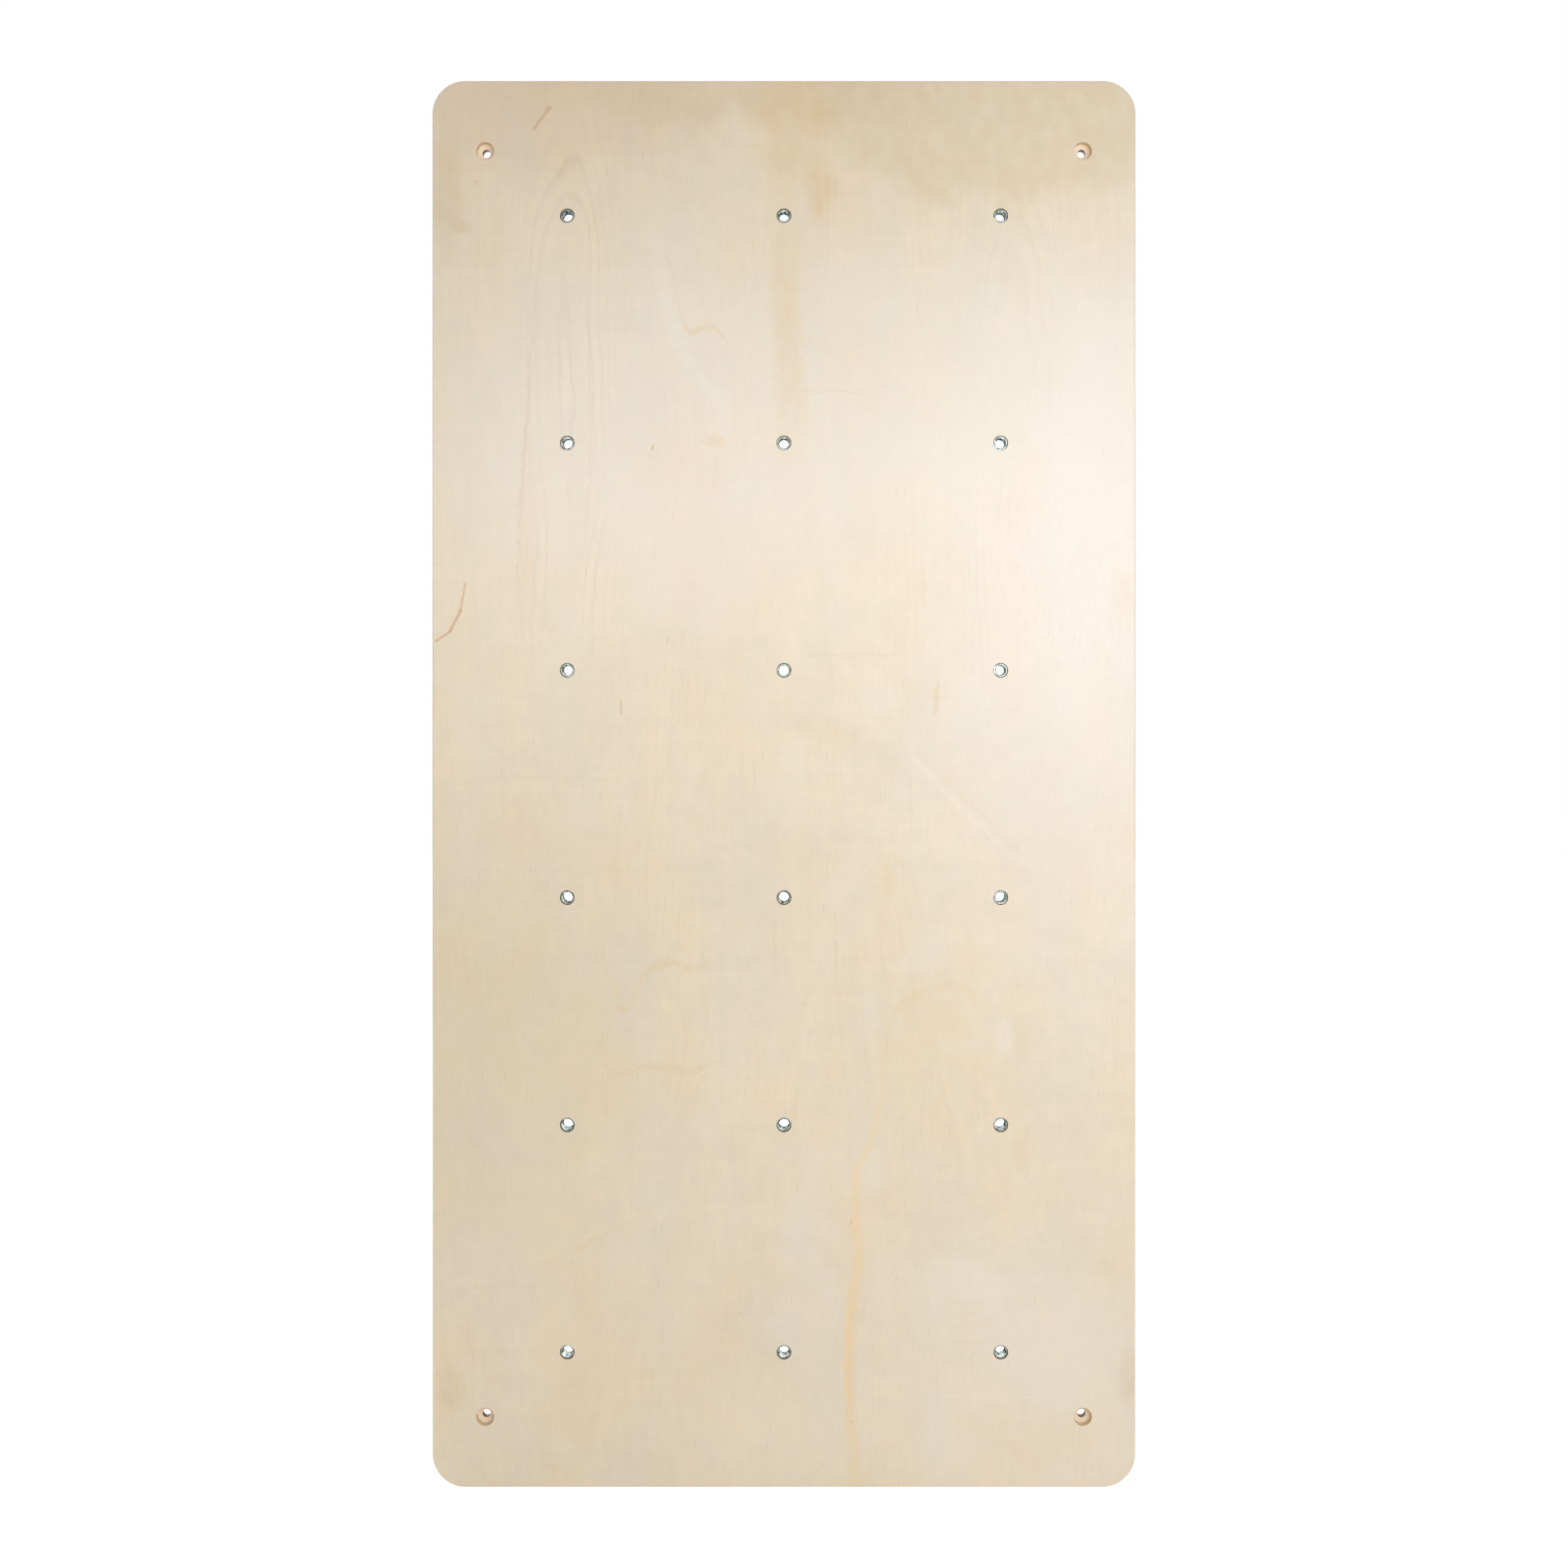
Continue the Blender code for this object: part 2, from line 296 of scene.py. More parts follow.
# Slots by where a face lies: front, rear, sawn edge, or inside a drilled hole
def dressBoard(mesh, settings, materials):
    low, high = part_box("board")
    flush = settings["flush"] * mm
    insideX = high.x - settings["cornerRadius"] * mm
    insideZ = high.z - settings["cornerRadius"] * mm
    screwX = high.x - settings["screwSideMargin"] * mm
    screwZ = high.z - settings["screwEndMargin"] * mm
    betweenBores = (settings["pilot"] + settings["counterbore"]) / 4 * mm
    mesh.materials.clear()
    for material in materials.values():
        mesh.materials.append(material)
    slots = {name: index for index, name in enumerate(materials)}
    for face in mesh.polygons:
        centre = face.center
        depths = [mesh.vertices[index].co.y for index in face.vertices]
        inHole = abs(centre.x) < insideX and abs(centre.z) < insideZ
        if max(depths) < low.y + flush:
            place = "front"
        elif min(depths) > high.y - flush:
            place = "rear"
        elif inHole and abs(face.normal.y) > settings["alongDepth"]:
            place = "holeFloor"
        elif math.hypot(abs(centre.x) - screwX, abs(centre.z) - screwZ) < betweenBores:
            place = "pilotWall"
        elif inHole:
            place = "holeWall"
        elif abs(face.normal.y) > settings["alongEdge"]:
            place = "front" if centre.y < (low.y + high.y) / 2 else "rear"
        else:
            place = "edge"
        face.material_index = slots[place]


# Hold nuts: stamped M10 nuts with prongs, and a thread cut through the barrel

nutSettings = {
    "thread": 10.0,
    "threadBore": 8.5,
    "pitch": 1.5,
    "threadForm": (1 / 4, 9 / 16, 11 / 16),        # shares of the pitch: end of crest, root from and to
    "turnsBefore": 2,
    "turnsBeyond": 3,
    "tapped": 0.1,              # what the tap takes off the bore, and how far off its thread a face may be
    "barrel": 12.0,
    "barrelEdge": 0.4,
    "mouthChamfer": 0.8,
    "rootRadius": 1.2,
    "rootSteps": 8,
    "flange": 25.5,
    "flangeThickness": 1.5,
    "prongs": 4,
    "prongWidth": 3.6,
    "prongTip": 0.8,
    "prongLength": 6.0,
    "prongRimInset": 0.6,
    "prongTurn": 45,
    "notchLength": 6.6,
    "foldSetBack": 0.2,
    "stampedEdge": 0.16,
    "stampedSteps": 2,
    "stampedDegrees": 50,
    "sliver": 0.001,
    "turnSteps": 64,
    "threadSteps": 48,
    "overrun": 2.0,
    "alongBarrel": 0.98,        # a face whose normal lies more along the barrel is an end, not thread
}


def meshOf(name, points, faces):
    mesh = bpy.data.meshes.new(name)
    mesh.from_pydata(points, [], faces)
    return outwardMesh(mesh)


def outwardMesh(mesh):
    work = bmesh.new()
    work.from_mesh(mesh)
    bmesh.ops.recalc_face_normals(work, faces=work.faces)
    work.to_mesh(mesh)
    work.free()
    return mesh


# Turns a closed profile of (radius, height) about Z
def turnedMesh(name, profile, steps):
    points, faces = [], []
    count = len(profile)
    for step in range(steps):
        angle = 2 * math.pi * step / steps
        points += [(r * math.cos(angle), r * math.sin(angle), h) for r, h in profile]
        here, there = step * count, (step + 1) % steps * count
        for index in range(count):
            after = (index + 1) % count
            faces.append((here + index, here + after, there + after, there + index))
    return meshOf(name, points, faces)


# The tool that cuts the thread: a screw with a 60 degree form, longer than the barrel at both ends
def threadTap(settings, height):
    steps = settings["threadSteps"]
    pitch = settings["pitch"] * mm
    crest, root = settings["threadBore"] / 2 * mm, settings["thread"] / 2 * mm
    crestEnd, rootStart, rootEnd = [pitch * share for share in settings["threadForm"]]
    form = [(0, crest), (crestEnd, crest), (rootStart, root), (rootEnd, root)]
    samples = len(form)
    turns = math.ceil(height / pitch) + settings["turnsBeyond"]
    rows = samples * turns
    start = -settings["turnsBefore"] * pitch
    points, places = [], {}
    for step in range(steps):
        angle = 2 * math.pi * step / steps
        for row in range(rows + 1 + (samples if step == 0 else 0)):
            turn, sample = divmod(row, samples)
            rise, radius = form[sample]
            places[step, row] = len(points)
            lift = start + pitch * (turn + step / steps) + rise
            points.append((radius * math.cos(angle), radius * math.sin(angle), lift))

    # The last step's neighbour is the first one, a turn further on
    def at(step, row):
        return places[0, row + samples] if step == steps else places[step, row]

    faces = [
        (at(step, row), at(step + 1, row), at(step + 1, row + 1), at(step, row + 1))
        for step in range(steps) for row in range(rows)
    ]

    # Both ends close in a cone, with its tip a turn beyond the last points
    for row, lift, seam in (
        (0, start - pitch, range(samples - 1, 0, -1)),
        (rows, start + pitch * (turns + 2), range(rows + samples - 1, rows, -1)),
    ):
        tip = len(points)
        points.append((0, 0, lift))
        rim = [at(step, row) for step in range(steps + 1)] + [at(0, index) for index in seam]
        faces += [(rim[index], rim[(index + 1) % len(rim)], tip) for index in range(len(rim))]
    return meshOf("threadTap", points, faces)


# Boxes or wedges round the flange, from (x, z) outlines extruded along Y
def prongMeshes(settings):
    thick = settings["flangeThickness"] * mm
    rim = settings["flange"] / 2 * mm
    fold = -settings["notchLength"] / 2 * mm
    near = fold - settings["foldSetBack"] * mm
    far = near - thick
    outer = math.sqrt(rim ** 2 - far ** 2) - settings["prongRimInset"] * mm
    inner = outer - settings["prongWidth"] * mm
    root, tip = thick / 2, thick + settings["prongLength"] * mm
    tipEnd = outer - settings["prongTip"] * mm
    overrun = settings["overrun"] * mm
    beyond = rim + overrun
    prong = [(inner, root), (outer, root), (outer, tip), (tipEnd, tip)]
    notch = [(inner, -overrun), (beyond, -overrun), (beyond, overrun), (inner, overrun)]
    made = []
    for name, outline, low, high in (("prongs", prong, far, near), ("notches", notch, fold, -fold)):
        work = bmesh.new()
        for index in range(settings["prongs"]):
            turn = math.radians(settings["prongTurn"]) + 2 * math.pi * index / settings["prongs"]
            spin = Matrix.Rotation(turn, 3, "Z")
            sides = [[work.verts.new(spin @ Vector((x, y, z))) for x, z in outline] for y in (low, high)]
            work.faces.new(sides[0])
            work.faces.new(reversed(sides[1]))
            for here in range(len(outline)):
                after = (here + 1) % len(outline)
                work.faces.new((sides[0][after], sides[0][here], sides[1][here], sides[1][after]))
        mesh = bpy.data.meshes.new(name)
        work.to_mesh(mesh)
        work.free()
        made.append(outwardMesh(mesh))
    return made


def addBoolean(obj, operation, cutter):
    boolean = obj.modifiers.new(cutter.name, "BOOLEAN")
    boolean.operation = operation
    boolean.solver = "EXACT"
    boolean.object = cutter


def buildNut(settings, height):
    bore = (settings["threadBore"] / 2 - settings["tapped"]) * mm
    barrel = settings["barrel"] / 2 * mm
    flange = settings["flange"] / 2 * mm
    thick = settings["flangeThickness"] * mm
    edge = settings["barrelEdge"] * mm
    chamfer = settings["mouthChamfer"] * mm
    root = settings["rootRadius"] * mm
    profile = [
        (bore + chamfer, height),
        (barrel - edge, height),
        (barrel, height - edge),
        (barrel, thick),
        (flange, thick),
        (flange, 0),
    ]
    for step in range(settings["rootSteps"] + 1):
        angle = math.pi / 2 * step / settings["rootSteps"]
        profile.append((bore + root - root * math.sin(angle), root - root * math.cos(angle)))
    profile.append((bore, height - chamfer))
    nut = newObject("nutBuilder", turnedMesh("nutBuilder", profile, settings["turnSteps"]))
    tools = [newObject(mesh.name, mesh) for mesh in (*prongMeshes(settings), threadTap(settings, height))]
    prongs, notches, tap = tools
    addBoolean(nut, "DIFFERENCE", notches)
    addBoolean(nut, "UNION", prongs)
    addBevel(nut, settings["stampedEdge"] * mm, settings["stampedSteps"], settings["stampedDegrees"])
    addBoolean(nut, "DIFFERENCE", tap)
    weld = nut.modifiers.new("noSlivers", "WELD")
    weld.merge_threshold = settings["sliver"] * mm
    mesh = finishedMesh(nut, "nut")
    for tool in tools:
        bpy.data.objects.remove(tool)
    return mesh


# Marks the faces that lie inside the barrel, from the bore's wall to the thread's root
def markThread(mesh, settings):
    marks = mesh.attributes.new("inThread", "BOOLEAN", "FACE")
    widest = (settings["thread"] / 2 + settings["tapped"]) * mm
    for face in mesh.polygons:
        inside = math.hypot(face.center.x, face.center.y) < widest
        marks.data[face.index].value = inside and abs(face.normal.z) < settings["alongBarrel"]


# The nut set on every point of the grid
def nutGridNodes(add, given):
    nut = add("GeometryNodeObjectInfo", {"Object": given["Nut"]})
    copies = add("GeometryNodeInstanceOnPoints", {
        "Points": gridPoints(add, given, "Nut"),
        "Instance": nut.outputs["Geometry"],
    })
    real = add("GeometryNodeRealizeInstances", {"Geometry": copies})
    plated = add("GeometryNodeSetMaterial", {"Geometry": real, "Material": given["Finish"]})
    inThread = add("GeometryNodeInputNamedAttribute", {"Name": "inThread"}, data_type="BOOLEAN")
    return add("GeometryNodeSetMaterial", {
        "Geometry": plated,
        "Selection": inThread,
        "Material": given["Thread Finish"],
    })


def buildNuts(settings, finish, threadFinish):
    low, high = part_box(nutNodes[0])
    mesh = buildNut(settings, high.y - low.y)
    markThread(mesh, settings)
    mesh.transform(Matrix.Translation((0, high.y, 0)) @ Matrix.Rotation(math.radians(90), 4, "X"))
    nut = newObject("nutMaster", mesh)
    grid = newObject("nutGrid", bpy.data.meshes.new("nutGrid"))
    addNodesModifier(grid, "nutGrid", nutGridNodes, {
        **nutGrid,
        "Nut": nut,
        "Finish": finish,
        "Thread Finish": threadFinish,
    })
    nuts = finishedMesh(grid, "hold_nuts")
    bpy.data.objects.remove(nut)
    return nuts


# Wood finishes. Every pattern reads Object coordinates, turned to millimetres

smooth = {"interpolation_type": "SMOOTHSTEP"}
noiseRange = (0.3, 0.7)        # where nearly all of a noise lies

# Birch veneer, rotary cut, sanded and lacquered thin: a pinkish cream ground with faint contour lines
# of the growth rings, fine upright fibres, soft cloudy patches and a satin shine
veneerSettings = {
    "ground": "#DFCFB4",
    "warmPatch": "#E1CEB1",
    "coolPatch": "#DDCFB7",
    "patchSize": (70, 110),
    "patchEdges": (0.36, 0.64),
    # darker wood loses more blue than red, and lighter wood gains more
    "toneWarmth": (0.95, 1.0, 1.09),
    # layers of tone: size across and along the grain, how much lighter or darker, detail and offset
    "toneLayers": [
        (48, 75, 0.054, 3.0, 3.1),
        (70, 7, 0.022, 1.0, 8.7),
        (13, 20, 0.045, 2.0, 12.9),
        (6, 150, 0.014, 3.0, 5.3),
        (0.4, 6, 0.022, 2.0, 6.7),
        (1.5, 16, 0.030, 3.0, 1.9),
    ],
    "ringClarity": 0.030,
    # a ring from its pale early wood to the thin dark line where it ends, and the tone between them
    "ringProfile": [(0, 0.6), (0.2, 0.78), (0.6, 0.6), (0.86, 0), (1, 0.6)],
    "ringMiddle": 0.55,
    # rings show less where the clouds are cool
    "ringGaps": {"From Min": 0.35, "From Max": 0.62, "To Min": 1.6, "To Max": 0.3},
    "fleck": "#A97C4E",
    "fleckCell": (8, 30),
    "fleckEdges": (0.07, 0.02),
    "fleckStrength": 0.16,
    "fleckShare": 0.012,
    "roughness": (0.27, 0.36),
    "specular": 0.75,
    "bumpHeight": 0.05,
    "bumpStrength": 0.25,
}

# Hearts that the ring lines run round, in mm from the middle of the board. A ring is "up" times as
# high as wide above its heart and "down" times below, shows more within "reach" of it and most within
# a quarter of that, and fades from the upper to the lower height in "fade"
frontFigure = {
    "hearts": [
        {"x": -186, "z": 352, "up": 6.0, "down": 12.0, "clear": 0.120, "reach": 50, "fade": (210, 70)},
        {"x": 164, "z": -490, "up": 1.2, "down": 9.0, "clear": 0.020, "reach": 50, "fade": (-480, -540)},
        {"x": 196, "z": 232, "up": 8.0, "down": 7.0, "clear": 0.060, "reach": 56, "fade": (0, -120)},
    ],
    "spacing": 7.0,
    "melt": 20.0,
    "waverSize": (60, 170),
    "waver": 5.0,
    "offset": 2.4,
}

rearFigure = {
    "hearts": [
        {"x": 90, "z": 180, "up": 7.0, "down": 9.0, "clear": 0.05, "reach": 90, "fade": (0, -300)},
        {"x": -140, "z": -240, "up": 6.0, "down": 6.0, "clear": 0.04, "reach": 90, "fade": (-400, -600)},
    ],
    "spacing": 7.5,
    "melt": 30.0,
    "waverSize": (75, 280),
    "waver": 6.0,
    "offset": 41.7,
}


# Object coordinates in millimetres
def pointInMillimetres(add):
    place = add("TexCoord")
    return add("VectorMath", [place.outputs["Object"], 1 / mm], operation="SCALE")


# Noise of the face, with its cells stretched to a width and a height
def stretchedNoise(add, point, size, values, offset=0, depth=0):
    wide, tall = size
    cells = (1 / wide, depth, 1 / tall)
    placed = add("VectorMath", [point, cells, (offset, 0, 0)], operation="MULTIPLY_ADD")
    return add("TexNoise", {"Vector": placed, "Scale": 1, **values})


# Lays a curve node through its points
def layCurve(node, spots):
    curve = node.mapping.curves[0]
    curve.points[0].location, curve.points[1].location = spots[0], spots[-1]
    for spot in spots[1:-1]:
        curve.points.new(*spot)
    node.mapping.update()
    return node


# The nearest heart's distance as a count of growth rings, and how clearly the rings show there
def ringField(add, point, figure, clarity):
    noise = {"Detail": 3.0, "Roughness": 0.45}
    waver = stretchedNoise(add, point, figure["waverSize"], noise, figure["offset"])
    height = add("SeparateXYZ", [point]).outputs["Z"]
    nearest, clear = None, clarity
    for heart in figure["hearts"]:
        squash = (1, 0, 1 / heart["down"])
        shift = (-heart["x"], 0, -heart["z"] / heart["down"])
        swell = (0, 0, heart["down"] / heart["up"] - 1)
        below = add("VectorMath", [point, squash, shift], operation="MULTIPLY_ADD")
        above = add("VectorMath", [below, (0, 0, 0)], operation="MAXIMUM")
        shaped = add("VectorMath", [above, swell, below], operation="MULTIPLY_ADD")
        distance = add("VectorMath", [shaped], operation="LENGTH")
        upper, lower = heart["fade"]
        near = add("MapRange", [distance, heart["reach"], heart["reach"] / 4, 0, heart["clear"]], **smooth)
        fading = add("MapRange", [height, lower, upper], **smooth)
        clear = add("Math", [near, fading, clear], operation="MULTIPLY_ADD")
        if nearest is None:
            nearest = distance
        else:
            nearest = add("Math", [nearest, distance, figure["melt"]], operation="SMOOTH_MIN")
    rings = add("Math", [nearest, 1 / figure["spacing"]], operation="MULTIPLY")
    return add("Math", [waver, figure["waver"], rings], operation="MULTIPLY_ADD"), clear


def veneerGroup(settings):
    add, given = newGroup("birchVeneer", "ShaderNodeTree", {
        "Point": "Vector",
        "Rings": "Float",
        "Clear": "Float",
    }, {"Color": "Color", "Height": "Float", "Roughness": "Float"})
    point = given["Point"]

    # Warm and cool clouds on the ground colour
    cloud = stretchedNoise(add, point, settings["patchSize"], {"Detail": 5.0, "Roughness": 0.6})
    patches = add("ValToRGB", [cloud])
    ramp = patches.color_ramp
    for element, edge, name in zip(ramp.elements, settings["patchEdges"], ("warmPatch", "coolPatch")):
        element.position, element.color = edge, linearColor(settings[name])
    ramp.elements.new(0.5).color = linearColor(settings["ground"])

    # Layers of lighter and darker wood, from broad clouds to single fibres
    tone = -sum(amount for across, along, amount, detail, offset in settings["toneLayers"])
    for across, along, amount, detail, offset in settings["toneLayers"]:
        fibre = stretchedNoise(add, point, (across, along), {"Detail": detail}, offset, 1 / across)
        tone = add("Math", [fibre, 2 * amount, tone], operation="MULTIPLY_ADD")

    # Growth rings: pale early wood darkens slowly into a thin late line, and no two rings show alike
    phase = add("Math", [given["Rings"]], operation="FRACT")
    profile = layCurve(add("FloatCurve", {"Value": phase}), settings["ringProfile"])
    index = add("Math", [given["Rings"]], operation="FLOOR")
    season = add("TexWhiteNoise", [index], noise_dimensions="1D")
    gapped = add("MapRange", {"Value": cloud, **settings["ringGaps"]}, **smooth)
    strength = add("Math", [given["Clear"], gapped], operation="MULTIPLY")
    uneven = add("Math", [strength, season], operation="MULTIPLY")
    signed = add("Math", [profile, settings["ringMiddle"]], operation="SUBTRACT")
    ringed = add("Math", [signed, uneven, tone], operation="MULTIPLY_ADD")
    warmed = add("VectorMath", [ringed, settings["toneWarmth"], (1, 1, 1)], operation="MULTIPLY_ADD")
    toned = add("VectorMath", [patches, warmed], operation="MULTIPLY")

    # A few short brown flecks, each a dash along the grain
    wide, tall = settings["fleckCell"]
    celled = add("VectorMath", [point, (1 / wide, 0, 1 / tall)], operation="MULTIPLY")
    cells = add("TexVoronoi", {"Vector": celled, "Scale": 1})
    dash = add("MapRange", [cells, *settings["fleckEdges"], 0, settings["fleckStrength"]], **smooth)
    chosen = add("Math", [cells.outputs["Color"], settings["fleckShare"]], operation="LESS_THAN")
    share = add("Math", [dash, chosen], operation="MULTIPLY")
    flecked = add("Mix", [share, toned, linearColor(settings["fleck"])], data_type="RGBA")
    gloss = add("MapRange", [fibre, *noiseRange, *settings["roughness"]])
    add("NodeGroupOutput", {"Color": flecked, "Height": fibre, "Roughness": gloss})


# A pencil-like stroke between two points
def strokeGroup():
    add, given = newGroup("stroke", "ShaderNodeTree", {
        "Point": "Vector",
        "From": "Vector",
        "To": "Vector",
        "Half Width": "Float",
        "Soft Edge": "Float",
    }, {"Share": "Float"})
    offset = add("VectorMath", [given["Point"], given["From"]], operation="SUBTRACT")
    flat = add("VectorMath", [offset, (1, 0, 1)], operation="MULTIPLY")
    line = add("VectorMath", [given["To"], given["From"]], operation="SUBTRACT")
    along = add("VectorMath", [flat, line], operation="DOT_PRODUCT")
    length = add("VectorMath", [line, line], operation="DOT_PRODUCT")
    share = add("Math", [along, length], operation="DIVIDE", use_clamp=True)
    foot = add("VectorMath", [line, share], operation="SCALE")
    gap = add("VectorMath", [flat, foot], operation="DISTANCE")
    beyond = add("Math", [gap, given["Half Width"]], operation="SUBTRACT")
    faded = add("Math", [beyond, given["Soft Edge"]], operation="DIVIDE")
    mask = add("MapRange", [faded, 1, -1], **smooth)
    add("NodeGroupOutput", {"Share": mask})


# An ellipse that fades out from its core to its reach, for stains and for patches of painted sheen
def fadingEllipseGroup():
    add, given = newGroup("stain", "ShaderNodeTree", {
        "Point": "Vector",
        "Centre": "Vector",
        "Reach": "Vector",
        "Core": "Float",
    }, {"Share": "Float"})
    offset = add("VectorMath", [given["Point"], given["Centre"]], operation="SUBTRACT")
    shaped = add("VectorMath", [offset, given["Reach"]], operation="DIVIDE")
    flat = add("VectorMath", [shaped, (1, 0, 1)], operation="MULTIPLY")
    distance = add("VectorMath", [flat], operation="LENGTH")
    mask = add("MapRange", [distance, 1, given["Core"]], **smooth)
    add("NodeGroupOutput", {"Share": mask})
